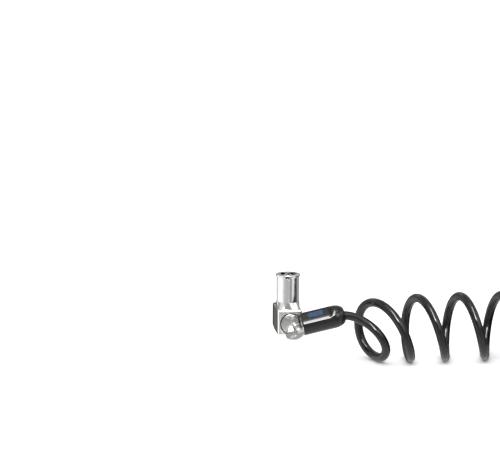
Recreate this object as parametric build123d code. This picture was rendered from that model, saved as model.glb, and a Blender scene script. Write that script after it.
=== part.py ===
from build123d import *
import math
import os

# Laptop cable lock, in millimetres. The origin is the root of the nose, in the middle of the face that lies
# against the laptop. +X runs towards the cable, +Y into the laptop and +Z up along the lock barrel.

# Head block
BLOCK_WIDTH = 10.0
BLOCK_DEPTH = 14.0
BLOCK_HEIGHT = 10.2
BLOCK_EDGE = 0.45
BLOCK_REAR_EDGE = 0.2
BUMPER_DEPTH = 2.6
PLATE_DEPTH = 1.2
PLATE_INSET = 0.15
PLATE_CORNER = 0.5
BUMPER_CORNER = 1.0
BUMPER_EDGE = 0.5
SCREW_X = 4.0
SCREW_Z = -4.0
SCREW_RADIUS = 0.5
SCREW_HEAD = 0.85
SCREW_LENGTH = 4.0
SCREW_DEPTH = 3.0
HEAD_THICKNESS = 0.5
HOLE_PLAY = 0.02
REAR_Y = -(BUMPER_DEPTH + PLATE_DEPTH)
FRONT_Y = REAR_Y - BLOCK_DEPTH
TOP_Z = BLOCK_HEIGHT / 2
BOTTOM_Z = -BLOCK_HEIGHT / 2
AXIS_Y = FRONT_Y + BLOCK_DEPTH / 2

# Barrel, its pins and the spindle that the key turns
SHOULDER_HEIGHT = 2.6
SHOULDER_RADIUS = 4.85
SHOULDER_ROOT = 0.4
SHOULDER_SETBACK = 1.6
SHOULDER_ROUND = 2.4
BARREL_RADIUS = 4.65
BARREL_BORE = 3.75
BARREL_TOP = 19.2
RIM_RADIUS = 5.05
RIM_HEIGHT = 1.2
RIM_ROUND = 0.35
SPIGOT_RADIUS = 4.1
SPIGOT_DEPTH = 2.2
KEYWAY_OUTER = 3.3
KEYWAY_INNER = 1.75
LIP_HEIGHT = 1.3
SPINDLE_SHAFT = 1.3
RUNNING = 0.05
PIN_COUNT = 7
PIN_RADIUS = 0.5
PIN_CIRCLE = 2.5
PIN_TRAVEL = 0.9
SHEAR_Z = 11.95
FLANGE_TOP = 14.6
PIN_GAP = 0.05
SPRING_BOTTOM = 7.0
DRIVER_BOTTOM = 9.4
BARREL_PIN_RADIUS = 0.48
BARREL_PIN_Z = 10.1
# Windows through the lip: the angle round the barrel and the width
RIM_WINDOWS = ((-99, 1.8), (-42, 1.4))
WINDOW_HEIGHT = 1.0
WINDOW_Z = 18.3
POST_TOP = BARREL_TOP - 0.3
POST_CHAMFER = 0.25
POST_DIMPLE = 0.8
PIN_PROUD = 0.8
KEY_FLAT_Y = -1.35
GROOVE_HALF = 0.65

# Crank on the spindle and the bolt that it draws
CRANK_THROW = 1.6
CRANK_PIN = 0.6
CRANK_DISC = 2.6
CRANK_PIN_BOTTOM = -1.0
CRANK_BOTTOM = 1.9
CRANK_START = math.radians(45)
CRANK_X = CRANK_THROW * math.cos(CRANK_START)
CRANK_Y = AXIS_Y + CRANK_THROW * math.sin(CRANK_START)
BOLT_HALF_WIDTH = 1.4
NOSE_LENGTH = 3.5
NOSE_LOW = 0.1
NOSE_HIGH = 1.5
HOOK_HIGH = 2.1
NOSE_TIP = 0.35
NOSE_PLAY = 0.4
HOOK_Y = 1.5
BLADE_LOW = -1.45
BLADE_TIP = 0.4
YOKE_HALF_WIDTH = 2.9
YOKE_TOP = 1.6
YOKE_WALL = 0.85
SLOT_CLEARANCE = 0.12
CHAMBER_HALF_WIDTH = 3.3
CHAMBER_HALF_HEIGHT = 3.2
CHAMBER_FRONT = -13.7

# Pivot and arm: the arm runs up to the right, in front of the block
PIVOT_X = 0.4
PIVOT_Z = -0.5
ARM_TILT = 12.3
ARM_Y = FRONT_Y - 5.1
DISC_RADIUS = 4.05
POCKET_RADIUS = 4.5
POCKET_DEPTH = 0.9
WASHER_THICKNESS = 0.25
WASHER_RADIUS = 3.6
DISC_PROUD = 0.9
DOME_HEIGHT = 0.6
DOME_RADIUS = (DISC_RADIUS**2 + DOME_HEIGHT**2) / (2 * DOME_HEIGHT)
DISC_EDGE = 0.2
STUD_RADIUS = 1.6
STUD_END = -14.3
GROOVE_RADIUS = 1.1
GROOVE_Y = -15.3
RETAINER_RADIUS = 0.45
KNUCKLE_RADIUS = 5.05
KNUCKLE_HALF_DEPTH = 4.0
KNUCKLE_EDGE = 0.9
TAIL_RADIUS = 3.6
TAIL_END = 5.0
NECK_RADIUS = 4.55
# The knuckle's upper outline, from under the disc to the sheath, along and up from the arm's axis
KNUCKLE_TOP = ((-7.0, -4.2), (-2.8, -3.6), (0.5, -3.2), (1.3, -1.1), (3.8, -0.8))

# Sheath over the arm
SHEATH_RADIUS = 4.65
SHEATH_START = 3.8
CAP_START = 16.8
SHEATH_END = 21.8
FACET_ANGLE = 37.0
FACET_DEPTH = 0.7
FACET_ROUND = 1.4
END_ROUND = 2.2
MOUTH_RADIUS = 2.45
MOUTH_DEPTH = 0.7
LABEL_START = 6.9
LABEL_LENGTH = 6.2
LABEL_WIDTH = 2.4
LABEL_RISE = 0.55
LABEL_THICKNESS = 0.25
LABEL_ROUND = 0.6
CORE_RADIUS = 3.2
CORE_BORE = 2.4
CORE_END = 17.5
FERRULE_START = 12.6
FERRULE_RADIUS = 2.35
FERRULE_END = 17.2
FERRULE_EDGE = 0.4
RING_THICKNESS = 0.8

# Cable: it leaves the sheath, then winds in open turns and in closed turns on the floor
CABLE_RADIUS = 1.8
CABLE_HOLE = 1.95
COIL_OUTER = 14.2
COIL_Y = -24.2
FLOOR_Z = -16.2
COIL_START = 27.0
CABLE_PLUNGE = 0.6
COIL_OPEN_END = 98.0
COIL_CLOSED_LENGTH = 62.0
COIL_CLOSED_END = COIL_OPEN_END + COIL_CLOSED_LENGTH
CABLE_Z = FLOOR_Z + CABLE_RADIUS
CRIMP_LENGTH = 14.0
CRIMP_HALF_GAP = 2.0
CRIMP_PLAY = 0.4
BOOT_LIP = 1.0
CRIMP_RADIUS = 1.5

# The neck runs along the floor from the closed turns to the crimp
NECK_ROUTE = [
    (COIL_CLOSED_END - 0.3, COIL_Y + 2.8, CABLE_Z),
    (COIL_CLOSED_END + 8, COIL_Y + 8, CABLE_Z),
    (COIL_CLOSED_END + 17, COIL_Y + 8, CABLE_Z),
]
# One side of the anchor loop, as distances along and across the crimp's axis
LOOP_SIDE = [(0, 2.0), (10, 4.2), (18.5, 12), (29, 15.8), (39, 11)]
LOOP_TIP = (43, 0)


def cylinder(radius, start, direction, length):
    """A round bar from a point along a direction."""
    return Solid.make_cylinder(radius, length, Plane(origin=start, z_dir=direction))


def upright(radius, low, high, x=0.0, y=AXIS_Y):
    """A round bar along +Z, on the barrel's axis unless told otherwise."""
    return cylinder(radius, (x, y, low), (0, 0, 1), high - low)


def block(x, y, z):
    """A box from three (low, high) pairs."""
    size = Vector(x[1] - x[0], y[1] - y[0], z[1] - z[0])
    return Pos(sum(x) / 2, sum(y) / 2, sum(z) / 2) * Box(size.X, size.Y, size.Z)


def on_arm(shape):
    """Place a shape made along +X from the pivot's axis onto the tilted arm."""
    return Pos(PIVOT_X, 0, PIVOT_Z) * Rot(0, -ARM_TILT, 0) * shape


def along_arm(radius, start, end):
    """A round bar along the arm's own axis, before it is tilted."""
    return cylinder(radius, (start, ARM_Y, 0), (1, 0, 0), end - start)


def pin_ring(radius, low, high):
    """Seven upright bars on the pin circle."""
    step = 2 * math.pi / PIN_COUNT
    return [
        upright(radius, low, high, PIN_CIRCLE * math.cos(i * step), AXIS_Y + PIN_CIRCLE * math.sin(i * step))
        for i in range(PIN_COUNT)
    ]


def tube_along(points, radius):
    """A round tube along straight runs joined by tangent arcs, and the arcs' radii."""
    places = [Vector(*p) for p in points]
    radii = []
    for before, corner, after in zip(places, places[1:], places[2:]):
        turn = (corner - before).get_angle(after - corner)
        run = min((corner - before).length, (after - corner).length)
        radii.append(0.45 * run / math.tan(math.radians(turn / 2)))
    path = FilletPolyline(*points, radius=radii)
    section = Plane(origin=path @ 0, z_dir=path % 0) * Circle(radius)
    tube = sweep(section, path=path)
    expected = math.pi * radius**2 * path.length
    print(f"tube {path.length:.1f} long, volume ratio {tube.volume / expected:.4f}, radii", end=" ")
    print([round(r, 1) for r in radii])
    return tube


def housing_block():
    """The cast block, with its sloping shoulder up to the barrel."""
    body = block((-BLOCK_WIDTH / 2, BLOCK_WIDTH / 2), (FRONT_Y, REAR_Y), (BOTTOM_Z, TOP_Z))
    body = chamfer(body.edges().group_by(Axis.Y)[0], BLOCK_EDGE)
    body = chamfer(body.edges().group_by(Axis.Y)[-1], BLOCK_REAR_EDGE)
    body = fillet(body.edges().filter_by(Axis.Y), BLOCK_REAR_EDGE)
    seat_size = (BLOCK_WIDTH - 2 * BLOCK_REAR_EDGE, BLOCK_DEPTH - 2 * SHOULDER_SETBACK)
    seat = Pos(0, AXIS_Y, TOP_Z - SHOULDER_ROOT) * RectangleRounded(*seat_size, SHOULDER_ROUND)
    ring = Pos(0, AXIS_Y, TOP_Z + SHOULDER_HEIGHT) * Circle(SHOULDER_RADIUS)
    body += loft([seat, ring])
    body -= upright(SPIGOT_RADIUS, TOP_Z + SHOULDER_HEIGHT - SPIGOT_DEPTH, BARREL_TOP)
    body -= upright(SPINDLE_SHAFT + RUNNING, CHAMBER_HALF_HEIGHT - 1, BARREL_TOP)
    sides = (-CHAMBER_HALF_WIDTH, CHAMBER_HALF_WIDTH)
    heights = (-CHAMBER_HALF_HEIGHT, CHAMBER_HALF_HEIGHT)
    body -= block(sides, (CHAMBER_FRONT, REAR_Y + 1), heights)
    pocket_start = (PIVOT_X, FRONT_Y - 1, PIVOT_Z)
    body -= cylinder(POCKET_RADIUS, pocket_start, (0, 1, 0), POCKET_DEPTH + 1)
    body -= cylinder(STUD_RADIUS + RUNNING, pocket_start, (0, 1, 0), STUD_END + 0.1 - FRONT_Y + 1)
    body -= upright(RETAINER_RADIUS, BOTTOM_Z - 1, 1.6, PIVOT_X + STUD_RADIUS, GROOVE_Y)
    for side in (-1, 1):
        screw_end = (side * SCREW_X, REAR_Y - SCREW_DEPTH - 0.2, SCREW_Z)
        body -= cylinder(SCREW_RADIUS + HOLE_PLAY, screw_end, (0, 1, 0), SCREW_LENGTH)
    return body


def lock_barrel():
    """The sleeve with its flared rim, its keyed lip and the spigot that sits in the block."""
    low = TOP_Z + SHOULDER_HEIGHT
    sleeve = upright(BARREL_RADIUS, low, BARREL_TOP) + upright(SPIGOT_RADIUS, low - SPIGOT_DEPTH, low + 1)
    rim = upright(RIM_RADIUS, BARREL_TOP - RIM_HEIGHT, BARREL_TOP)
    rim = fillet(rim.edges().group_by(Axis.Z)[-1], RIM_ROUND)
    rim = chamfer(rim.edges().group_by(Axis.Z)[0], RIM_ROUND)
    sleeve += rim
    sleeve -= upright(BARREL_BORE, 0, BARREL_TOP - LIP_HEIGHT)
    sleeve -= upright(KEYWAY_OUTER, 0, BARREL_TOP + 1)
    for angle, width in RIM_WINDOWS:
        sleeve -= lip_window(math.radians(angle), width)
    pin_hole = cylinder(BARREL_PIN_RADIUS + HOLE_PLAY, (0, AXIS_Y, BARREL_PIN_Z), (0, 1, 0), BARREL_RADIUS + 1)
    return sleeve - pin_hole


def lip_window(turn, width):
    """A slot with round ends, from the keyway out through the lip."""
    outward = Vector(math.cos(turn), math.sin(turn), 0)
    start = Vector(0, AXIS_Y, WINDOW_Z) + outward * (KEYWAY_OUTER - 0.5)
    plane = Plane(origin=start, x_dir=(-outward.Y, outward.X, 0), z_dir=outward)
    return extrude(plane * SlotOverall(width, WINDOW_HEIGHT), amount=RIM_RADIUS)


def pin_housing():
    """The fixed core under the spindle's flange, which holds the driver pins and their springs."""
    low = TOP_Z + SHOULDER_HEIGHT - SPIGOT_DEPTH
    core = upright(BARREL_BORE - 0.02, low, SHEAR_Z)
    core -= upright(SPINDLE_SHAFT + RUNNING, low - 1, SHEAR_Z + 1)
    groove = upright(PIN_CIRCLE + GROOVE_HALF, SHEAR_Z - PIN_TRAVEL - 0.15, SHEAR_Z + 1)
    core -= groove - upright(PIN_CIRCLE - GROOVE_HALF, SHEAR_Z - 2, SHEAR_Z + 2)
    for hole in pin_ring(PIN_RADIUS + RUNNING, SPRING_BOTTOM, SHEAR_Z + 1):
        core -= hole
    pin_start = (0, AXIS_Y + BARREL_BORE - 0.5, BARREL_PIN_Z)
    core -= cylinder(BARREL_PIN_RADIUS + HOLE_PLAY, pin_start, (0, 1, 0), 2)
    return core


def barrel_pin():
    """The short pin that stops the fixed core from turning in the barrel."""
    start = (0, AXIS_Y + BARREL_BORE - 0.45, BARREL_PIN_Z)
    return cylinder(BARREL_PIN_RADIUS, start, (0, 1, 0), BARREL_RADIUS - BARREL_BORE + 0.4)


def lock_spindle():
    """The part that the key turns: centre post, flange with pin holes, and shaft down into the block."""
    spindle = upright(KEYWAY_INNER, FLANGE_TOP - 0.5, POST_TOP)
    spindle = chamfer(spindle.edges().group_by(Axis.Z)[-1], POST_CHAMFER)
    spindle -= upright(POST_DIMPLE, POST_TOP - 1, BARREL_TOP)
    spindle += upright(BARREL_BORE - RUNNING, SHEAR_Z + PIN_GAP, FLANGE_TOP)
    spindle += upright(SPINDLE_SHAFT, CHAMBER_HALF_HEIGHT - 0.1, FLANGE_TOP - 0.5)
    for hole in pin_ring(PIN_RADIUS + RUNNING, SHEAR_Z - 1, FLANGE_TOP + 1):
        spindle -= hole
    flat = (AXIS_Y + KEY_FLAT_Y - 1, AXIS_Y + KEY_FLAT_Y)
    spindle -= block((-PIN_RADIUS, PIN_RADIUS), flat, (FLANGE_TOP + PIN_PROUD + 0.1, BARREL_TOP + 1))
    return spindle


def drive_crank():
    """The disc on the spindle's end, whose offset pin works in the bolt's slot."""
    disc = upright(CRANK_DISC, CRANK_BOTTOM, CHAMBER_HALF_HEIGHT - 0.1)
    return disc + upright(CRANK_PIN, CRANK_PIN_BOTTOM, CRANK_BOTTOM + 0.1, CRANK_X, CRANK_Y)


def wedge_bolt():
    """The bolt: a slotted yoke inside the block and a blade out through the plate and the bumper."""
    back, front = CRANK_Y - CRANK_PIN - SLOT_CLEARANCE, CRANK_Y + CRANK_PIN + SLOT_CLEARANCE
    heights = (BLADE_LOW, YOKE_TOP)
    yoke = block((-YOKE_HALF_WIDTH, YOKE_HALF_WIDTH), (back - YOKE_WALL, front + YOKE_WALL), heights)
    yoke -= block((CRANK_X - YOKE_WALL, CRANK_THROW + YOKE_WALL), (back, front), (-3, 3))
    width = (-BOLT_HALF_WIDTH, BOLT_HALF_WIDTH)
    blade = block(width, (front, NOSE_LENGTH - 0.2), (BLADE_LOW, -NOSE_LOW))
    return yoke + chamfer(blade.edges().group_by(Axis.Y)[-1], BLADE_TIP)


def nose_plate():
    """The steel plate behind the block, with the fixed half of the nose."""
    half = BLOCK_WIDTH / 2 - PLATE_INSET
    heights = (BOTTOM_Z + PLATE_INSET, TOP_Z - PLATE_INSET)
    plate = block((-half, half), (REAR_Y, -BUMPER_DEPTH), heights)
    plate = fillet(plate.edges().filter_by(Axis.Y), PLATE_CORNER)
    nose_width = (-BOLT_HALF_WIDTH, BOLT_HALF_WIDTH)
    nose = block(nose_width, (REAR_Y + 0.2, NOSE_LENGTH), (NOSE_LOW, NOSE_HIGH))
    nose += block(nose_width, (HOOK_Y, NOSE_LENGTH), (NOSE_LOW, HOOK_HIGH))
    nose = chamfer(nose.edges().group_by(Axis.Y)[-1], NOSE_TIP)
    slot = BOLT_HALF_WIDTH + 0.1
    plate -= block((-slot, slot), (REAR_Y - 1, 0), (BLADE_LOW - 0.1, HOLE_PLAY))
    plate += nose
    for side in (-1, 1):
        hole = (side * SCREW_X, REAR_Y - 1, SCREW_Z)
        recess = (side * SCREW_X, -BUMPER_DEPTH - HEAD_THICKNESS - 0.1, SCREW_Z)
        plate -= cylinder(SCREW_RADIUS + HOLE_PLAY, hole, (0, 1, 0), SCREW_LENGTH)
        plate -= cylinder(SCREW_HEAD + 0.05, recess, (0, 1, 0), 2)
    return plate


def plate_screws():
    """The two small screws that hold the plate to the block."""
    screws = []
    for side in (-1, 1):
        x = side * SCREW_X
        under_head = -BUMPER_DEPTH - HEAD_THICKNESS - 0.05
        shank = cylinder(SCREW_RADIUS, (x, REAR_Y - SCREW_DEPTH, SCREW_Z), (0, 1, 0), SCREW_LENGTH - 0.3)
        head = cylinder(SCREW_HEAD, (x, under_head, SCREW_Z), (0, 1, 0), HEAD_THICKNESS)
        slot_bottom = under_head + HEAD_THICKNESS / 2
        head -= block((x - 0.12, x + 0.12), (slot_bottom, 0), (SCREW_Z - 1, SCREW_Z + 1))
        screws.append(shank + head)
    return screws


def rubber_bumper():
    """The soft pad that keeps the metal off the laptop, open in the middle for the nose."""
    half = BLOCK_WIDTH / 2
    pad = block((-half, half), (-BUMPER_DEPTH, 0), (BOTTOM_Z, TOP_Z))
    pad = fillet(pad.edges().filter_by(Axis.Y), BUMPER_CORNER)
    pad = fillet(pad.edges().group_by(Axis.Y)[-1], BUMPER_EDGE)
    slot = BOLT_HALF_WIDTH + NOSE_PLAY
    return pad - block((-slot, slot), (-BUMPER_DEPTH - 1, 1), (BLADE_LOW - NOSE_PLAY, HOOK_HIGH + NOSE_PLAY))


def pivot_washer():
    """The thin washer that the arm's disc bears on."""
    y = FRONT_Y + POCKET_DEPTH - WASHER_THICKNESS
    ring = cylinder(WASHER_RADIUS, (PIVOT_X, y, PIVOT_Z), (0, 1, 0), WASHER_THICKNESS)
    return ring - cylinder(STUD_RADIUS + 0.15, (PIVOT_X, y - 1, PIVOT_Z), (0, 1, 0), 2)


def stud_retainer():
    """The pressed pin that lies in the stud's groove and keeps the arm on the block."""
    return upright(RETAINER_RADIUS - 0.01, BOTTOM_Z + 0.1, 1.5, PIVOT_X + STUD_RADIUS, GROOVE_Y)


def pivot_lug():
    """The arm's end: a domed disc with its stud, and the knuckle that runs into the sheath."""
    back = FRONT_Y + POCKET_DEPTH - WASHER_THICKNESS - 0.05
    face = FRONT_Y - DISC_PROUD
    disc = cylinder(DISC_RADIUS, (0, face, 0), (0, 1, 0), back - face)
    disc &= Pos(0, face + DOME_RADIUS, 0) * Sphere(DOME_RADIUS)
    disc = fillet(disc.edges().group_by(Axis.Y)[0], DISC_EDGE)
    stud = cylinder(STUD_RADIUS, (0, back - 0.5, 0), (0, 1, 0), STUD_END - back + 0.5)
    ring = cylinder(STUD_RADIUS + 1, (0, GROOVE_Y - 0.5, 0), (0, 1, 0), 1.0)
    stud -= ring - cylinder(GROOVE_RADIUS, (0, GROOVE_Y - 1, 0), (0, 1, 0), 2)
    disc -= along_arm(SHEATH_RADIUS + 0.05, SHEATH_START - 0.05, TAIL_END + 3)
    return on_arm(disc + stud + knuckle())


def knuckle():
    """The rounded foot under the disc, which carries the tail inside the sheath."""
    puck = cylinder(KNUCKLE_RADIUS, (0, ARM_Y - KNUCKLE_HALF_DEPTH, 0), (0, 1, 0), 2 * KNUCKLE_HALF_DEPTH)
    puck = fillet(puck.edges().group_by(Axis.Y)[0], KNUCKLE_EDGE)
    foot = puck + along_arm(NECK_RADIUS, 0.5, SHEATH_START)
    (left, _), (right, _) = KNUCKLE_TOP[0], KNUCKLE_TOP[-1]
    outline = Polyline(*KNUCKLE_TOP, (right, 8), (left, 8), close=True)
    foot -= extrude(Plane.XZ * make_face(outline), amount=40, both=True)
    foot -= block((SHEATH_START, 10), (ARM_Y - 8, ARM_Y + 8), (-8, 8))
    foot -= block((-8, 8), (FRONT_Y - DISC_PROUD + DOME_HEIGHT, 0), (-8, 8))
    tail = along_arm(TAIL_RADIUS, SHEATH_START - 1, TAIL_END)
    return foot + (tail - extrude(Plane.XZ * make_face(outline), amount=40, both=True))


def arm_core():
    """The steel tube inside the sheath, closed at the knuckle's end."""
    core = along_arm(CORE_RADIUS, TAIL_END, CORE_END)
    return on_arm(core - along_arm(CORE_BORE, TAIL_END + 1.2, CORE_END + 1))


def facet_frame(along):
    """A point on the sheath's long flat, which faces up and to the front, and the flat's normal."""
    tilt = math.radians(FACET_ANGLE)
    normal = Vector(0, -math.sin(tilt), math.cos(tilt))
    return Vector(along, ARM_Y, 0) + normal * (SHEATH_RADIUS - FACET_DEPTH), normal


def sheath_section():
    """The sheath's section: a circle with a flat, whose ends are rounded off."""
    _, normal = facet_frame(0)
    plane = Plane(origin=(SHEATH_START, ARM_Y, 0), x_dir=normal.cross(Vector(1, 0, 0)), z_dir=(1, 0, 0))
    below = SHEATH_RADIUS - FACET_DEPTH
    half = Rectangle(4 * SHEATH_RADIUS, 4 * SHEATH_RADIUS, align=(Align.CENTER, Align.MAX))
    outline = Circle(SHEATH_RADIUS) & (Pos(0, below) * half)
    return plane * fillet(outline.vertices(), FACET_ROUND)


def sheath_body():
    """The moulded sheath over the knuckle's tail and the core."""
    body = extrude(sheath_section(), amount=CAP_START - SHEATH_START)
    body -= along_arm(TAIL_RADIUS + HOLE_PLAY, SHEATH_START - 1, TAIL_END)
    body -= along_arm(CORE_RADIUS + HOLE_PLAY, TAIL_END - 1, CAP_START + 1)
    return on_arm(body - label_shape())


def label_shape():
    """The inlay's rounded strip, let into the sheath's flat."""
    base, normal = facet_frame(LABEL_START + LABEL_LENGTH / 2)
    plane = Plane(origin=base, x_dir=(1, 0, 0), z_dir=normal)
    strip = plane * Pos(0, LABEL_RISE) * RectangleRounded(LABEL_LENGTH, LABEL_WIDTH, LABEL_ROUND)
    return extrude(strip, amount=-LABEL_THICKNESS)


def label_inlay():
    """The plain coloured inlay."""
    return on_arm(label_shape())


def sheath_end_cap():
    """The rounded cap that the cable leaves through."""
    cap = along_arm(SHEATH_RADIUS, CAP_START, SHEATH_END)
    cap = fillet(cap.edges().group_by(Axis.X)[-1], END_ROUND)
    cap -= along_arm(CORE_RADIUS + HOLE_PLAY, CAP_START - 1, CORE_END + RING_THICKNESS + 0.1)
    cap -= along_arm(MOUTH_RADIUS, SHEATH_END - MOUTH_DEPTH, SHEATH_END + 1)
    return on_arm(cap - along_arm(CABLE_HOLE, CAP_START, SHEATH_END + 1))


def core_retainer():
    """The ring pressed into the cap, which keeps the ferrule in the core."""
    ring = along_arm(CORE_RADIUS, CORE_END, CORE_END + RING_THICKNESS)
    return on_arm(ring - along_arm(CABLE_HOLE, CORE_END - 1, CORE_END + 2))


def swivel_ferrule():
    """The ferrule crimped on the cable's end, which turns inside the core."""
    body = along_arm(FERRULE_RADIUS, FERRULE_START, FERRULE_END)
    return on_arm(chamfer(body.edges().group_by(Axis.X)[0], FERRULE_EDGE))


def cable_stub():
    """The straight start of the cable, from the ferrule to the first turn."""
    reach = (COIL_START - PIVOT_X) / math.cos(math.radians(ARM_TILT)) + CABLE_PLUNGE
    return on_arm(along_arm(CABLE_RADIUS, FERRULE_END, reach))


def open_coil():
    """The outside of the drawn-out turns."""
    start = (COIL_START, COIL_Y, FLOOR_Z + COIL_OUTER)
    return cylinder(COIL_OUTER, start, (1, 0, 0), COIL_OPEN_END - COIL_START)


def closed_coil():
    """The outside of the turns that lie against each other."""
    start = (COIL_OPEN_END, COIL_Y, FLOOR_Z + COIL_OUTER)
    return cylinder(COIL_OUTER, start, (1, 0, 0), COIL_CLOSED_LENGTH)


def crimp_frame():
    """Where the crimp starts and which way it points, along the floor."""
    before, start = Vector(*NECK_ROUTE[-2]), Vector(*NECK_ROUTE[-1])
    return start, (start - before).normalized()


def crimp_place(along, across):
    """A point on the floor from its distances along and across the crimp's axis."""
    start, ahead = crimp_frame()
    aside = Vector(-ahead.Y, ahead.X, 0)
    place = start + ahead * along + aside * across
    return (place.X, place.Y, place.Z)


def oval_bar(start, end, half_gap, radius):
    """A bar with a stadium section, wide enough for two cables side by side."""
    origin = crimp_place(start, 0)
    _, ahead = crimp_frame()
    plane = Plane(origin=origin, x_dir=(-ahead.Y, ahead.X, 0), z_dir=ahead)
    section = plane * SlotCenterToCenter(2 * half_gap, 2 * radius)
    return extrude(section, amount=end - start)


def cable_neck():
    """The cable from the closed turns to the crimp."""
    return tube_along(NECK_ROUTE, CABLE_RADIUS)


def loop_crimp():
    """The metal sleeve pressed over both ends of the loop."""
    return oval_bar(BOOT_LIP, CRIMP_LENGTH - BOOT_LIP, CRIMP_HALF_GAP - CRIMP_PLAY, CRIMP_RADIUS - 0.02)


def loop_boot():
    """The moulded cover over the crimp."""
    cover = oval_bar(0, CRIMP_LENGTH, CRIMP_HALF_GAP, CABLE_RADIUS)
    hollow = oval_bar(BOOT_LIP, CRIMP_LENGTH - BOOT_LIP, CRIMP_HALF_GAP - CRIMP_PLAY, CRIMP_RADIUS)
    return cover - hollow


def anchor_loop():
    """The loop that the head is passed through, round a fixed thing."""
    side = [(CRIMP_LENGTH + along, across) for along, across in LOOP_SIDE]
    tip = (CRIMP_LENGTH + LOOP_TIP[0], LOOP_TIP[1])
    other = [(along, -across) for along, across in reversed(side)]
    return tube_along([crimp_place(*p) for p in side + [tip] + other], CABLE_RADIUS)


def key_pins():
    """The pins that the key presses, standing out of the spindle's flange."""
    return pin_ring(PIN_RADIUS, SHEAR_Z + PIN_GAP, FLANGE_TOP + PIN_PROUD)


def driver_pins():
    """The pins under the key pins."""
    return pin_ring(PIN_RADIUS, DRIVER_BOTTOM, SHEAR_Z - PIN_GAP)


def pin_springs():
    """The springs under the driver pins, each a plain sleeve of the spring's size."""
    outer = pin_ring(PIN_RADIUS, SPRING_BOTTOM, DRIVER_BOTTOM)
    inner = pin_ring(PIN_RADIUS - 0.2, SPRING_BOTTOM - 1, DRIVER_BOTTOM + 1)
    return [a - b for a, b in zip(outer, inner)]


PARTS = [
    housing_block,
    lock_barrel,
    pin_housing,
    barrel_pin,
    lock_spindle,
    drive_crank,
    wedge_bolt,
    nose_plate,
    plate_screws,
    rubber_bumper,
    pivot_washer,
    stud_retainer,
    pivot_lug,
    arm_core,
    sheath_body,
    label_inlay,
    sheath_end_cap,
    core_retainer,
    swivel_ferrule,
    cable_stub,
    open_coil,
    closed_coil,
    cable_neck,
    loop_crimp,
    loop_boot,
    anchor_loop,
    key_pins,
    driver_pins,
    pin_springs,
]

os.makedirs("parts", exist_ok=True)
for make in PARTS:
    made = make()
    shape = Compound(made) if isinstance(made, list) else made
    export_step(shape, f"parts/{make.__name__}.step")
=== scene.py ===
import math

import bpy
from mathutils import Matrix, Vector


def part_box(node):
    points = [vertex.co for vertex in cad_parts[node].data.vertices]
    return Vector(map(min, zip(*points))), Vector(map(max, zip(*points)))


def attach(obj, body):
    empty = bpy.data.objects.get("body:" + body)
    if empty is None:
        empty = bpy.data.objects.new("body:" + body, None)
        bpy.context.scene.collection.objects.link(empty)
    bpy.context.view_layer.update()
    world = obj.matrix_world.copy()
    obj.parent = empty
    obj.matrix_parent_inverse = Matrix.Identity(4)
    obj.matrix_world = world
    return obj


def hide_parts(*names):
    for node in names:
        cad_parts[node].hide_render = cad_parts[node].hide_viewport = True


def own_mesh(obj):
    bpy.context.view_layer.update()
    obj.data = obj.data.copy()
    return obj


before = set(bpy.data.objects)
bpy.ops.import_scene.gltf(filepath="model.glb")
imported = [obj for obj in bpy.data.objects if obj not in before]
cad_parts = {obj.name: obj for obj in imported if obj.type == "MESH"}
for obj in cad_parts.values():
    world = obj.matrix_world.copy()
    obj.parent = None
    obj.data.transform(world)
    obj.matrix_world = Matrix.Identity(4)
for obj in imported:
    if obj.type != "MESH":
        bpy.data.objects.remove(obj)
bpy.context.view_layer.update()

# Laptop cable lock. Lengths are in millimetres and turn into metres through MM; the origin, the axes and the
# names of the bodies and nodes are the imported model's.
MM = 0.001

# The surface that the coil lies on, as the frame gives it, in metres
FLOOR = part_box("open_coil")[0].z

# Arm: a point of its axis, and its tilt
PIVOT = Vector((0.4, -22.9, -0.5))
ARM_TILT = math.radians(12.3)
ARM_AHEAD = Vector((math.cos(ARM_TILT), 0, math.sin(ARM_TILT)))
ARM_UP = Vector((-math.sin(ARM_TILT), 0, math.cos(ARM_TILT)))
FRONT = Vector((0, -1, 0))

# Round pocket behind the arm's disc, in the block's front: its radius, its span along Y, and how far off its
# wall a face of it may be. Faces there are painted near black as painted shade for the gap round the disc
POCKET_RADIUS = 4.5
POCKET_SPAN = (-17.75, -16.7)
POCKET_PLAY = 0.05

# Sheath: a round tube along the arm with a long flat that faces up and to the front
SHEATH_START = 3.8
SHEATH_END = 21.8
SHEATH_RADIUS = 4.65
SHEATH_STEPS = 128
SHEATH_RINGS = 48
START_EDGE = 0.3
END_ROUND = 2.5
END_LENGTH = 4.6
END_RINGS = 12
# The mouth in the round end, where the cable comes out
MOUTH_RADIUS = 2.15
MOUTH_EDGE = 0.12
MOUTH_DEPTH = 0.7
# Inside, from the mouth back to the start: along the arm and radius
SHEATH_BORE = [(21.1, 1.95), (18.4, 1.95), (18.4, 3.22), (5.0, 3.22), (5.0, 3.62), (3.8, 3.62)]
FLAT_ANGLE = math.radians(37.0)
FLAT_DISTANCE = 3.90
FLAT_SOFTNESS = 0.8
# The flat can only reach the part of the outside that faces it at least this much
FLAT_FACING = 0.2
# The flat runs out into the round end between these two places
RUN_OUT = (15.2, 18.2)

# Boot over the crimp: places along it, each with the half width and half height there
BOOT_SHAPE = [
    (-0.6, 1.9, 1.85), (0.0, 2.5, 2.1), (1.2, 3.3, 2.4), (3.0, 4.1, 2.6), (4.0, 4.3, 2.65),
    (10.0, 4.3, 2.65), (11.5, 4.35, 2.6), (13.2, 4.3, 2.4), (14.2, 4.15, 2.1), (14.5, 3.9, 1.9),
]
# How high the boot's middle lies, so that its thickest part rests on the surface
BOOT_REST = 2.65
BOOT_RINGS = 120
BOOT_STEPS = 64
# 1 makes an ellipse of the section, and less makes it squarer
BOOT_SQUARE = (0.7, 0.85)
BOOT_GROOVES = (4.6, 9.6)
GROOVE_PITCH = 1.25
GROOVE_DEPTH = 0.22

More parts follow.
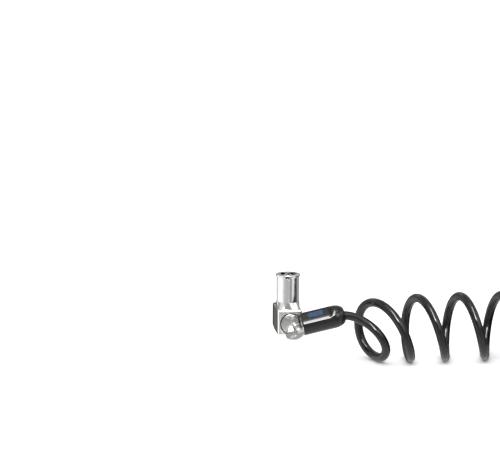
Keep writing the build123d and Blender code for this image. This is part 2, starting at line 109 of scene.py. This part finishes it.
# Springs under the pins of the lock
BARREL_Y = -10.8
PIN_COUNT = 7
PIN_CIRCLE = 2.5
SPRING_LOW = 7.0
SPRING_HIGH = 9.4
SPRING_RADIUS = 0.38
SPRING_WIRE = 0.08
SPRING_TURNS = 5
SPRING_STEPS = 16
WIRE_STEPS = 8

# Cable
CABLE_RADIUS = 1.8
# Steps of the curve between its points, and of its round section
CABLE_SMOOTHNESS = 6
CABLE_SIDES = 7
# Along the arm: where the cable starts inside the sheath, and where it stops being straight
CABLE_HIDDEN_START = 17.2
CABLE_STRAIGHT_END = 20.6
# From the sheath's end the cable swings forward and down into the first turn
CABLE_ENTRY = [
    (25.2, -25.1, 3.6),
    (29.3, -28.9, 2.0),
    (33.1, -32.2, -0.8),
    (36.5, -32.7, -5.4),
    (38.1, -30.2, -10.2),
    (37.0, -25.9, -14.0),
]
# Coil: points on each turn, the radius of the cable's middle line, the surface it lies on, the first turn's
# place, and how far one turn is from the next
COIL_STEPS = 16
COIL_RADIUS = 12.4
COIL_FLOOR = -16.2
COIL_X = 26.6
COIL_Y = -24.2
COIL_PITCH = 15.2
COIL_PITCH_GROWTH = 0.385
COIL_DRIFT = 0.334
# How far the turns lean to the side and tip over: extra at the start, turns it takes to fade, and what is left
COIL_LEAN = (0.89, 0.76, -0.054)
COIL_TIP = (0.63, 1.04, 0.023)
COIL_FIRST = 0.25
COIL_OPEN_TURNS = 3.9
COIL_CLOSING_TURNS = 0.9
COIL_END_X = 159.7
COIL_CLOSED_TURNS = 16.4
CABLE_Z = COIL_FLOOR + CABLE_RADIUS
# The neck turns from the last turn's foot to the crimp, which lies along +X
NECK_ROUTE = [(159.5, -23.2), (162.1, -18.8), (166.5, -16.2), (177.0, -16.2)]
# Anchor loop: one side and its tip, along the cable and across it, from the crimp's end
LOOP_SIDE = [(0, 2.0), (10, 4.2), (18.5, 12), (29, 15.8), (39, 11)]
LOOP_TIP = (43, 0)
CRIMP_LENGTH = 14.0

# Edges sharper than this stay sharp on the pieces made here
SHARP_ANGLE = math.radians(38)

# Camera and stage. Places and the floor's half width are in metres
FLOOR_HALF = 20.0
CAMERA_PLACE = Vector((-101.5, -742.9, 161.8)) * MM
CAMERA_TURN = math.radians(6.684)
CAMERA_DROP = math.radians(9.382)
CAMERA_LENS = 131.4
CAMERA_SENSOR = 36.0
CAMERA_CLIP = (0.05, 20.0)
LIGHT_TARGET = Vector((0.04, 0, 0))
# Studio that shiny surfaces see. Round the horizon, as shares of a turn from behind by the left to the front
STUDIO_ROUND = [
    (0.0, 0.10), (0.08, 0.22), (0.13, 1.15), (0.31, 1.25), (0.38, 0.60), (0.50, 0.50), (0.525, 0.55),
    (0.56, 0.24), (0.58, 0.28), (0.61, 0.85), (0.65, 0.85), (0.69, 0.34), (0.79, 0.36), (0.86, 0.38),
    (0.92, 0.14), (1.0, 0.10),
]
# From straight down to straight up
STUDIO_UP = [
    (0.0, 1.00), (0.30, 0.85), (0.50, 0.30), (0.60, 0.42), (0.68, 0.95), (0.76, 0.45), (0.86, 0.55),
    (1.0, 1.25),
]
# The bands round the horizon belong to the part of the studio just under it
STUDIO_BELT = [(0.30, 0.0), (0.38, 1.0), (0.47, 1.0), (0.53, 0.0)]
# Softboxes: how much brighter they are, their span round the horizon and their span from below to above
SOFTBOXES = [
    (34.0, (0.46, 0.50), (0.66, 0.90)),
    (4.5, (0.55, 0.58), (0.54, 0.70)),
]
WINDOW_EDGE = 0.02
# Light from all round on everything else
AMBIENT = 1.4

# Colours
FLOOR_COLOR = (0.96, 0.96, 0.96)
FLOOR_ROUGH = 0.95
CHROME = (0.86, 0.86, 0.85)
NICKEL = (0.69, 0.69, 0.67)
STEEL = (0.60, 0.60, 0.61)
BRASS = (0.80, 0.62, 0.30)
SHEATH_BLACK = (0.0075, 0.0068, 0.0062)
LABEL_BLUE = (0.008, 0.038, 0.105)
JACKET_BLACK = [(0.0035, 0.0035, 0.0036), (0.008, 0.008, 0.008)]
RUBBER_BLACK = (0.02, 0.02, 0.021)
# Near black for the pocket walls round the disc: painted shade, not a colour the metal has
POCKET_SHADE_BLACK = (0.010, 0.010, 0.010)

# Noise in the materials, in waves per millimetre
METAL_TINT_SCALE = 0.35
METAL_WAVE_SCALE = 0.45
PLASTIC_TINT_SCALE = 0.4
PLASTIC_POLISH_SCALE = 1.6
PLASTIC_GRAIN_SCALE = 7.0
JACKET_TINT_SCALE = 0.5
JACKET_POLISH_SCALE = 0.9
JACKET_WAVE_SCALE = 0.6
JACKET_GRAIN_SCALE = 3.0
# The part of the noise over which a tint or a polish goes from one end of its range to the other
TINT_SPAN = (0.3, 0.7)
JACKET_TINT_SPAN = (0.35, 0.7)
POLISH_SPAN = (0.3, 0.75)
# The jacket's smoothest and roughest polish
JACKET_ROUGH = (0.09, 0.20)
# How much of its colour a material keeps where it is darkest
METAL_DARKEST = 0.93
PLASTIC_DARKEST = 0.8
# How strongly waves and grain show, and the depths of the jacket's own in millimetres
WAVE_STRENGTH = 0.6
GRAIN_STRENGTH = 0.5
PLASTIC_STRENGTH = 0.4
JACKET_WAVE = {"strength": 0.5, "distance": 0.05}
JACKET_GRAIN = {"strength": 0.4, "distance": 0.005}
# Satin front of the block: how much rougher it is, and its grain's depth
SATIN_ROUGH = 0.22
SATIN_DEPTH = 0.09
# A face counts as the front when its normal goes at least this far along -Y
FRONT_FACING = 0.995

# Sockets of Blender's colour mix node
MIX_FIRST, MIX_SECOND, MIX_RESULT = 6, 7, 2


def settle(extra, fading, left, turns):
    """A value whose extra fades over the turns, until only what is left of it stays."""
    return left + extra * math.exp(-turns / fading)


def coil_place(turn):
    """A point of the cable's coil. Turn 0 is at the front of the first turn, and the strand goes down there."""
    lean = settle(*COIL_LEAN, turn)
    tip = settle(*COIL_TIP, turn)
    along = Vector((math.cos(lean), math.sin(lean), 0))
    back = Vector((-math.sin(lean), math.cos(lean), 0))
    up = Vector((0, 0, math.cos(tip))) - along * math.sin(tip)
    opened = min(turn, COIL_OPEN_TURNS)
    x = COIL_X + COIL_PITCH * opened + COIL_PITCH_GROWTH * opened ** 2
    y = COIL_Y + COIL_DRIFT * opened
    z = COIL_FLOOR + COIL_RADIUS * math.cos(tip) + CABLE_RADIUS
    if turn > COIL_OPEN_TURNS:
        # The pitch falls evenly from the open turns' last one to that of the closed turns
        last = COIL_PITCH + 2 * COIL_PITCH_GROWTH * COIL_OPEN_TURNS
        rest = turn - COIL_OPEN_TURNS
        whole = COIL_CLOSING_TURNS + COIL_CLOSED_TURNS
        closed = (COIL_END_X - x - last * COIL_CLOSING_TURNS / 2) / (whole - COIL_CLOSING_TURNS / 2)
        share = min(rest / COIL_CLOSING_TURNS, 1)
        x += closed * rest + (last - closed) * COIL_CLOSING_TURNS * (share - share ** 2 / 2)
    angle = 2 * math.pi * turn
    # The smooth curve runs inside its control points, so these lie a little further out
    control = COIL_RADIUS / ((6 + 2 * math.cos(2 * math.pi / COIL_STEPS)) / 8)
    return Vector((x, y, z)) - control * (math.cos(angle) * back + math.sin(angle) * up)


def cable_points():
    """The cable's control points, from the ferrule in the sheath to the end of its anchor loop."""
    points = [PIVOT + ARM_AHEAD * CABLE_HIDDEN_START, PIVOT + ARM_AHEAD * CABLE_STRAIGHT_END]
    points += [Vector(p) for p in CABLE_ENTRY]
    turns = COIL_OPEN_TURNS + COIL_CLOSING_TURNS + COIL_CLOSED_TURNS
    count = int((turns - COIL_FIRST) * COIL_STEPS)
    points += [coil_place(COIL_FIRST + i / COIL_STEPS) for i in range(count)]
    points += [Vector((x, y, CABLE_Z)) for x, y in NECK_ROUTE]
    start, ahead = crimp_frame()
    aside = Vector((-ahead.y, ahead.x, 0))
    side = [(CRIMP_LENGTH + along, across) for along, across in LOOP_SIDE]
    tip = (CRIMP_LENGTH + LOOP_TIP[0], LOOP_TIP[1])
    other = [(along, -across) for along, across in reversed(side)]
    points += [start + ahead * along + aside * across for along, across in side + [tip] + other]
    return points


def crimp_frame():
    """Where the crimp starts, and which way it points along the floor."""
    (ax, ay), (bx, by) = NECK_ROUTE[-2:]
    start = Vector((bx, by, CABLE_Z))
    return start, (start - Vector((ax, ay, CABLE_Z))).normalized()


def make_cable():
    """The whole cable as one smooth tube."""
    curve = bpy.data.curves.new("cable", "CURVE")
    curve.dimensions = "3D"
    curve.resolution_u = CABLE_SMOOTHNESS
    # Each point carries the cable's radius, so that the curve's own box is the cable's
    curve.bevel_depth = 1.0
    curve.bevel_resolution = CABLE_SIDES
    curve.use_fill_caps = True
    spline = curve.splines.new("NURBS")
    points = cable_points()
    spline.points.add(len(points) - 1)
    for point, place in zip(spline.points, points):
        point.co = (*(place * MM), 1)
        point.radius = CABLE_RADIUS * MM
    spline.order_u = 3
    spline.use_endpoint_u = True
    piece = bpy.data.objects.new("cable", curve)
    bpy.context.scene.collection.objects.link(piece)
    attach(piece, "cable")
    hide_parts("cable_stub", "open_coil", "closed_coil", "cable_neck", "anchor_loop")
    return piece


def mesh_piece(name, skins, body, closed=False):
    """Smooth skins through rings of points. A closed one runs from the last ring back to the first."""
    points, faces = [], []
    for rings in skins:
        base, around, count = len(points), len(rings[0]), len(rings)
        points += [point * MM for ring in rings for point in ring]
        for i in range(count if closed else count - 1):
            here, there = base + i * around, base + (i + 1) % count * around
            for j in range(around):
                beside = (j + 1) % around
                faces.append((here + j, here + beside, there + beside, there + j))
        if not closed:
            last = len(points) - around
            faces += [tuple(reversed(range(base, base + around))), tuple(range(last, last + around))]
    mesh = bpy.data.meshes.new(name)
    mesh.from_pydata(points, [], faces)
    mesh.validate()
    mesh.shade_smooth()
    mesh.set_sharp_from_angle(angle=SHARP_ANGLE)
    piece = bpy.data.objects.new(name, mesh)
    bpy.context.scene.collection.objects.link(piece)
    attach(piece, body)
    return piece


def flat_distance(along):
    """How far the flat is from the sheath's axis."""
    start, end = RUN_OUT
    share = min(max((along - start) / (end - start), 0), 1)
    rise = SHEATH_RADIUS + FLAT_SOFTNESS - FLAT_DISTANCE
    return FLAT_DISTANCE + rise * share ** 2 * (3 - 2 * share)


def flattened(along, radius, angle):
    """The radius on the sheath's outside at an angle from the top to the front, lowered softly at the flat."""
    facing = math.cos(angle - FLAT_ANGLE)
    if facing < FLAT_FACING:
        return radius
    plane = flat_distance(along) / facing
    share = min(max(0.5 + 0.5 * (radius - plane) / FLAT_SOFTNESS, 0), 1)
    return radius + (plane - radius) * share - FLAT_SOFTNESS * share * (1 - share)


def sheath_outside():
    """The sheath's outside before the flat: places along the arm, each with the radius there."""
    third = START_EDGE / 3
    outside = [(SHEATH_START, SHEATH_RADIUS - START_EDGE), (SHEATH_START + third, SHEATH_RADIUS - third)]
    start, end = SHEATH_START + START_EDGE, SHEATH_END - END_LENGTH
    outside += [(start + (end - start) * i / SHEATH_RINGS, SHEATH_RADIUS) for i in range(SHEATH_RINGS)]
    for i in range(END_RINGS + 1):
        turn = math.pi / 2 * i / END_RINGS
        outside.append((end + END_LENGTH * math.sin(turn), SHEATH_RADIUS - END_ROUND * (1 - math.cos(turn))))
    return outside


def make_sheath():
    """The moulded sheath with its rounded end, in one piece."""
    outside = sheath_outside()
    mouth = MOUTH_RADIUS - MOUTH_EDGE
    inside = [(SHEATH_END - MOUTH_EDGE, mouth), (SHEATH_END - MOUTH_DEPTH, mouth)] + SHEATH_BORE
    rings = []
    for along, radius in outside + inside:
        centre = PIVOT + ARM_AHEAD * along
        ring = []
        for i in range(SHEATH_STEPS):
            angle = 2 * math.pi * i / SHEATH_STEPS
            reach = flattened(along, radius, angle) if (along, radius) in outside else radius
            ring.append(centre + (ARM_UP * math.cos(angle) + FRONT * math.sin(angle)) * reach)
        rings.append(ring)
    piece = mesh_piece("sheath", [rings], "arm", closed=True)
    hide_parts("sheath_body", "sheath_end_cap")
    return piece


def boot_section(along):
    """The boot's half width and half height at a place along it."""
    for (low, width, height), (high, next_width, next_height) in zip(BOOT_SHAPE, BOOT_SHAPE[1:]):
        if along <= high:
            share = (along - low) / (high - low)
            share = share ** 2 * (3 - 2 * share)
            return width + (next_width - width) * share, height + (next_height - height) * share
    return BOOT_SHAPE[-1][1:]


def powered(value, power):
    """A power of the value's size, with the value's own sign."""
    return math.copysign(abs(value) ** power, value)


def make_boot():
    """The moulded cover over the crimp, tapered to the single cable, with grip grooves across it."""
    start, ahead = crimp_frame()
    aside = Vector((-ahead.y, ahead.x, 0))
    low, high = BOOT_SHAPE[0][0], BOOT_SHAPE[-1][0]
    first, last = BOOT_GROOVES
    rings = []
    for i in range(BOOT_RINGS + 1):
        along = low + (high - low) * i / BOOT_RINGS
        width, height = boot_section(along)
        if first < along < last:
            wave = 0.5 - 0.5 * math.cos(2 * math.pi * (along - first) / GROOVE_PITCH)
            width -= GROOVE_DEPTH * wave
            height -= GROOVE_DEPTH * wave
        centre = start + ahead * along + Vector((0, 0, BOOT_REST - CABLE_RADIUS))
        ring = []
        for j in range(BOOT_STEPS):
            angle = 2 * math.pi * j / BOOT_STEPS
            across = powered(math.cos(angle), BOOT_SQUARE[0])
            up = powered(math.sin(angle), BOOT_SQUARE[1])
            ring.append(centre + aside * width * across + Vector((0, 0, height * up)))
        rings.append(ring)
    piece = mesh_piece("boot", [rings], "cable")
    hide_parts("loop_boot")
    return piece


def spring_rings(x, y):
    """One pin spring: wire wound round an upright axis."""
    angles = [2 * math.pi * j / WIRE_STEPS for j in range(WIRE_STEPS)]
    count = SPRING_TURNS * SPRING_STEPS
    rings = []
    for i in range(count + 1):
        turn = 2 * math.pi * i / SPRING_STEPS
        outward = Vector((math.cos(turn), math.sin(turn), 0))
        share = i / count
        height = SPRING_LOW + SPRING_WIRE + (SPRING_HIGH - SPRING_LOW - 2 * SPRING_WIRE) * share
        centre = Vector((x, y, height)) + outward * SPRING_RADIUS
        sides = [outward * math.cos(angle) + Vector((0, 0, math.sin(angle))) for angle in angles]
        rings.append([centre + side * SPRING_WIRE for side in sides])
    return rings


def make_springs():
    """The seven springs under the driver pins, at one fixed length; nothing here shortens them as the pins go
    down.
    """
    turns = [2 * math.pi / PIN_COUNT * i for i in range(PIN_COUNT)]
    places = [(PIN_CIRCLE * math.cos(turn), BARREL_Y + PIN_CIRCLE * math.sin(turn)) for turn in turns]
    piece = mesh_piece("springs", [spring_rings(x, y) for x, y in places], "head")
    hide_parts("pin_springs")
    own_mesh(piece)
    return piece


def make_camera():
    """The camera that stands where the photo's stood."""
    data = bpy.data.cameras.new("camera")
    data.lens = CAMERA_LENS
    data.sensor_width = CAMERA_SENSOR
    data.clip_start, data.clip_end = CAMERA_CLIP
    camera = bpy.data.objects.new("camera", data)
    bpy.context.scene.collection.objects.link(camera)
    camera.location = CAMERA_PLACE
    camera.rotation_euler = (math.pi / 2 - CAMERA_DROP, 0, -CAMERA_TURN)
    bpy.context.scene.camera = camera


def node_maker(tree):
    """A helper that adds a node to a tree, sets it up, and fills or links its inputs."""

    def node(kind, values=(), **settings):
        made = tree.nodes.new(kind)
        for key, value in settings.items():
            setattr(made, key, value)
        for socket, value in dict(values).items():
            if isinstance(value, bpy.types.NodeSocket):
                tree.links.new(value, made.inputs[socket])
            else:
                made.inputs[socket].default_value = value
        return made

    return node


def new_material(name):
    """A material with one Principled shader, a helper that adds nodes in it, and its links."""
    material = bpy.data.materials.new(name)
    material.use_nodes = True
    tree = material.node_tree
    return material, tree.nodes["Principled BSDF"], node_maker(tree), tree.links


def ramp(node, factor, stops):
    """A colour ramp from (place, value or colour) stops."""
    made = node("ShaderNodeValToRGB", {"Fac": factor})
    elements = made.color_ramp.elements
    while len(elements) < len(stops):
        elements.new(0.5)
    for element, (place, value) in zip(elements, stops):
        element.position = place
        element.color = (value, value, value, 1) if isinstance(value, (int, float)) else (*value, 1)
    return made.outputs["Color"]


def noise(node, scale, detail=3.0, stretch=(1, 1, 1)):
    """Noise in the object's own millimetres, drawn out along an axis where stretch is small."""
    coordinates = node("ShaderNodeTexCoord")
    scaled = node("ShaderNodeMapping", {"Vector": coordinates.outputs["Object"]})
    scaled.inputs["Scale"].default_value = [scale * part / MM for part in stretch]
    made = node("ShaderNodeTexNoise", {"Vector": scaled.outputs["Vector"], "Scale": 1.0, "Detail": detail})
    return made.outputs["Fac"]


def span_ramp(node, factor, span, ends):
    """A ramp between two values or colours, over a span of the factor."""
    return ramp(node, factor, list(zip(span, ends)))


def math_node(node, operation, first, second):
    """The result of one sum on two values or sockets."""
    return node("ShaderNodeMath", {0: first, 1: second}, operation=operation).outputs[0]


def mix_node(node, factor, first, second):
    """A mix of two colours or sockets, from all of the first to all of the second."""
    values = {"Factor": factor, MIX_FIRST: first, MIX_SECOND: second}
    return node("ShaderNodeMix", values, data_type="RGBA").outputs[MIX_RESULT]


def bump(node, links, shader, height, strength, distance, before=None):
    """Bump on the shader, on top of an earlier one if there is one."""
    made = node("ShaderNodeBump", {"Height": height, "Strength": strength, "Distance": distance * MM})
    if before is not None:
        links.new(before.outputs["Normal"], made.inputs["Normal"])
    links.new(made.outputs["Normal"], shader.inputs["Normal"])
    return made


def facing_front(node):
    """1 on faces that look straight to the front, and 0 elsewhere."""
    normal = node("ShaderNodeTexCoord").outputs["Normal"]
    toward = node("ShaderNodeSeparateXYZ", {"Vector": normal}).outputs["Y"]
    return math_node(node, "LESS_THAN", toward, -FRONT_FACING)


def darker(color, share):
    """A colour with only a share of its brightness."""
    return tuple(part * share for part in color)


def metal(name, color, rough, grain, grain_depth, wave_depth, stretch=(1, 1, 1), satin_front=0.0):
    """A metal with uneven polish. satin_front adds roughness and grain on faces that look to the front."""
    material, shader, node, links = new_material(name)
    shader.inputs["Metallic"].default_value = 1.0
    tint = span_ramp(node, noise(node, METAL_TINT_SCALE), TINT_SPAN, (darker(color, METAL_DARKEST), color))
    links.new(tint, shader.inputs["Base Color"])
    polish = span_ramp(node, noise(node, grain, detail=4.0, stretch=stretch), POLISH_SPAN, rough)
    waves = noise(node, METAL_WAVE_SCALE, detail=2.0)
    broad = bump(node, links, shader, waves, WAVE_STRENGTH, wave_depth)
    grains = noise(node, grain, stretch=stretch)
    fine = bump(node, links, shader, grains, GRAIN_STRENGTH, grain_depth, broad)
    if satin_front:
        front = facing_front(node)
        polish = math_node(node, "ADD", polish, math_node(node, "MULTIPLY", front, satin_front))
        depth = math_node(node, "ADD", math_node(node, "MULTIPLY", front, SATIN_DEPTH), grain_depth)
        links.new(math_node(node, "MULTIPLY", depth, MM), fine.inputs["Distance"])
    links.new(polish, shader.inputs["Roughness"])
    return material


def jacket_material():
    """Smooth black jacket with the slight unevenness of an extruded skin over a stranded core."""
    material, shader, node, links = new_material("cable_jacket")
    tint = span_ramp(node, noise(node, JACKET_TINT_SCALE), JACKET_TINT_SPAN, JACKET_BLACK)
    links.new(tint, shader.inputs["Base Color"])
    polish = span_ramp(node, noise(node, JACKET_POLISH_SCALE, detail=4.0), POLISH_SPAN, JACKET_ROUGH)
    links.new(polish, shader.inputs["Roughness"])
    broad = bump(node, links, shader, noise(node, JACKET_WAVE_SCALE, detail=2.0), **JACKET_WAVE)
    bump(node, links, shader, noise(node, JACKET_GRAIN_SCALE), **JACKET_GRAIN, before=broad)
    return material


def plastic_material(name, color, rough, grain_depth, gloss=0.5):
    """Moulded plastic with a fine texture."""
    material, shader, node, links = new_material(name)
    ends = (darker(color, PLASTIC_DARKEST), color)
    links.new(span_ramp(node, noise(node, PLASTIC_TINT_SCALE), TINT_SPAN, ends), shader.inputs["Base Color"])
    polish = span_ramp(node, noise(node, PLASTIC_POLISH_SCALE, detail=4.0), POLISH_SPAN, rough)
    links.new(polish, shader.inputs["Roughness"])
    shader.inputs["Specular IOR Level"].default_value = gloss
    bump(node, links, shader, noise(node, PLASTIC_GRAIN_SCALE), PLASTIC_STRENGTH, grain_depth)
    return material


def paint(names, material):
    """Give CAD nodes a material."""
    for name in names:
        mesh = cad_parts[name].data
        mesh.materials.clear()
        mesh.materials.append(material)
        mesh.polygons.foreach_set("material_index", [0] * len(mesh.polygons))


def paint_pocket_shade(material):
    """Give the walls of the pocket behind the disc their own near-black material: painted shade for the dark
    gap round the disc.
    """
    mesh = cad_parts["housing_block"].data
    mesh.materials.append(material)
    front, back = POCKET_SPAN
    for polygon in mesh.polygons:
        place = polygon.center / MM
        reach = math.hypot(place.x - PIVOT.x, place.z - PIVOT.z)
        if reach < POCKET_RADIUS + POCKET_PLAY and front < place.y < back:
            polygon.material_index = len(mesh.materials) - 1


def make_floor():
    """A wide pale floor. Shiny surfaces see the studio's world through it instead of the floor."""
    mesh = bpy.data.meshes.new("floor")
    corners = [(x * FLOOR_HALF, y * FLOOR_HALF, FLOOR) for x, y in ((-1, -1), (1, -1), (1, 1), (-1, 1))]
    mesh.from_pydata(corners, [], [(0, 1, 2, 3)])
    floor = bpy.data.objects.new("floor", mesh)
    bpy.context.scene.collection.objects.link(floor)
    material, shader, node, links = new_material("floor_paper")
    shader.inputs["Base Color"].default_value = (*FLOOR_COLOR, 1)
    shader.inputs["Roughness"].default_value = FLOOR_ROUGH
    shader.inputs["Specular IOR Level"].default_value = 0.0
    mix = node("ShaderNodeMixShader", {"Fac": node("ShaderNodeLightPath").outputs["Is Glossy Ray"]})
    links.new(shader.outputs["BSDF"], mix.inputs[1])
    links.new(node("ShaderNodeBsdfTransparent").outputs["BSDF"], mix.inputs[2])
    links.new(mix.outputs["Shader"], material.node_tree.nodes["Material Output"].inputs["Surface"])
    mesh.materials.append(material)


def make_world():
    """Plain white, but shiny surfaces see a studio: bands round the horizon, and softboxes above."""
    world = bpy.data.worlds.new("studio")
    bpy.context.scene.world = world
    world.use_nodes = True
    tree = world.node_tree
    background = tree.nodes["Background"]
    node = node_maker(tree)
    glossy = node("ShaderNodeLightPath").outputs["Is Glossy Ray"]
    direction = node("ShaderNodeTexCoord").outputs["Generated"]
    parts = node("ShaderNodeSeparateXYZ", {"Vector": direction})
    toward = math_node(node, "MULTIPLY", parts.outputs["Y"], -1.0)
    turn = math_node(node, "ARCTAN2", parts.outputs["X"], toward)
    around = math_node(node, "ADD", math_node(node, "DIVIDE", turn, 2 * math.pi), 0.5)
    rise = node("ShaderNodeMath", {0: parts.outputs["Z"]}, operation="ARCSINE").outputs[0]
    up = math_node(node, "ADD", math_node(node, "DIVIDE", rise, math.pi), 0.5)
    belt = ramp(node, up, STUDIO_BELT)
    seen = mix_node(node, belt, ramp(node, up, STUDIO_UP), ramp(node, around, STUDIO_ROUND))
    shown = mix_node(node, glossy, (AMBIENT, AMBIENT, AMBIENT, 1), seen)
    tree.links.new(shown, background.inputs["Color"])
    strength = 1.0
    for bright, sides, heights in SOFTBOXES:
        window = math_node(node, "MULTIPLY", soft_window(node, around, sides), soft_window(node, up, heights))
        window = math_node(node, "MULTIPLY", window, glossy)
        strength = math_node(node, "ADD", math_node(node, "MULTIPLY", window, bright), strength)
    tree.links.new(strength, background.inputs["Strength"])


def soft_window(node, value, span):
    """1 inside a span of the value, and 0 outside, with soft edges."""
    low, high = span
    stops = [(low - WINDOW_EDGE, 0.0), (low, 1.0), (high, 1.0), (high + WINDOW_EDGE, 0.0)]
    return ramp(node, value, stops)


def make_light(name, place, size, power):
    """A soft rectangular light that looks at the head."""
    data = bpy.data.lights.new(name, "AREA")
    data.shape = "RECTANGLE"
    data.size, data.size_y = size
    data.energy = power
    light = bpy.data.objects.new(name, data)
    bpy.context.scene.collection.objects.link(light)
    light.location = place
    light.rotation_euler = (LIGHT_TARGET - Vector(place)).to_track_quat("-Z", "Y").to_euler()


chrome = metal(
    "chrome_polished", CHROME, rough=(0.05, 0.13), grain=2.2, grain_depth=0.004, wave_depth=0.05,
    satin_front=SATIN_ROUGH,
)
steel = metal(
    "steel_machined", STEEL, rough=(0.22, 0.38), grain=4.0, grain_depth=0.012, wave_depth=0.02,
    stretch=(1, 1, 0.1),
)
brass = metal("brass_turned", BRASS, rough=(0.18, 0.32), grain=4.0, grain_depth=0.01, wave_depth=0.02)
nickel = metal("nickel_satin", NICKEL, rough=(0.16, 0.28), grain=2.2, grain_depth=0.012, wave_depth=0.06)
sheath_plastic = plastic_material("sheath_plastic", SHEATH_BLACK, rough=(0.09, 0.16), grain_depth=0.003)
boot_rubber = plastic_material("boot_rubber", SHEATH_BLACK, rough=(0.35, 0.5), grain_depth=0.01)
rubber = plastic_material("bumper_rubber", RUBBER_BLACK, rough=(0.6, 0.85), grain_depth=0.03)
label_blue = plastic_material("label_blue", LABEL_BLUE, rough=(0.25, 0.35), grain_depth=0.0015)
# Painted shade: a near-black material for the pocket walls round the disc
pocket_painted_shade = plastic_material("pocket_painted_shade", POCKET_SHADE_BLACK, rough=(0.5, 0.7), grain_depth=0.01, gloss=0.2)
paint(["housing_block", "lock_barrel", "lock_spindle"], chrome)
paint(["pivot_lug"], nickel)
paint(["nose_plate", "plate_screws", "wedge_bolt", "drive_crank", "barrel_pin", "pivot_washer"], steel)
paint(["stud_retainer", "arm_core", "core_retainer", "swivel_ferrule", "loop_crimp"], steel)
paint(["pin_housing", "key_pins", "driver_pins"], brass)
paint(["rubber_bumper"], rubber)
paint(["label_inlay"], label_blue)
# Paints the pocket walls near black as painted shade
paint_pocket_shade(pocket_painted_shade)
make_sheath().data.materials.append(sheath_plastic)
make_boot().data.materials.append(boot_rubber)
make_springs().data.materials.append(steel)
make_cable().data.materials.append(jacket_material())
make_camera()
make_floor()
make_world()
make_light("overhead_light", place=(-0.10, -0.45, 0.95), size=(0.9, 0.7), power=3.0)
make_light("side_light", place=(0.75, -0.45, 0.5), size=(0.8, 0.8), power=1.2)
bpy.context.scene.view_settings.view_transform = "Standard"
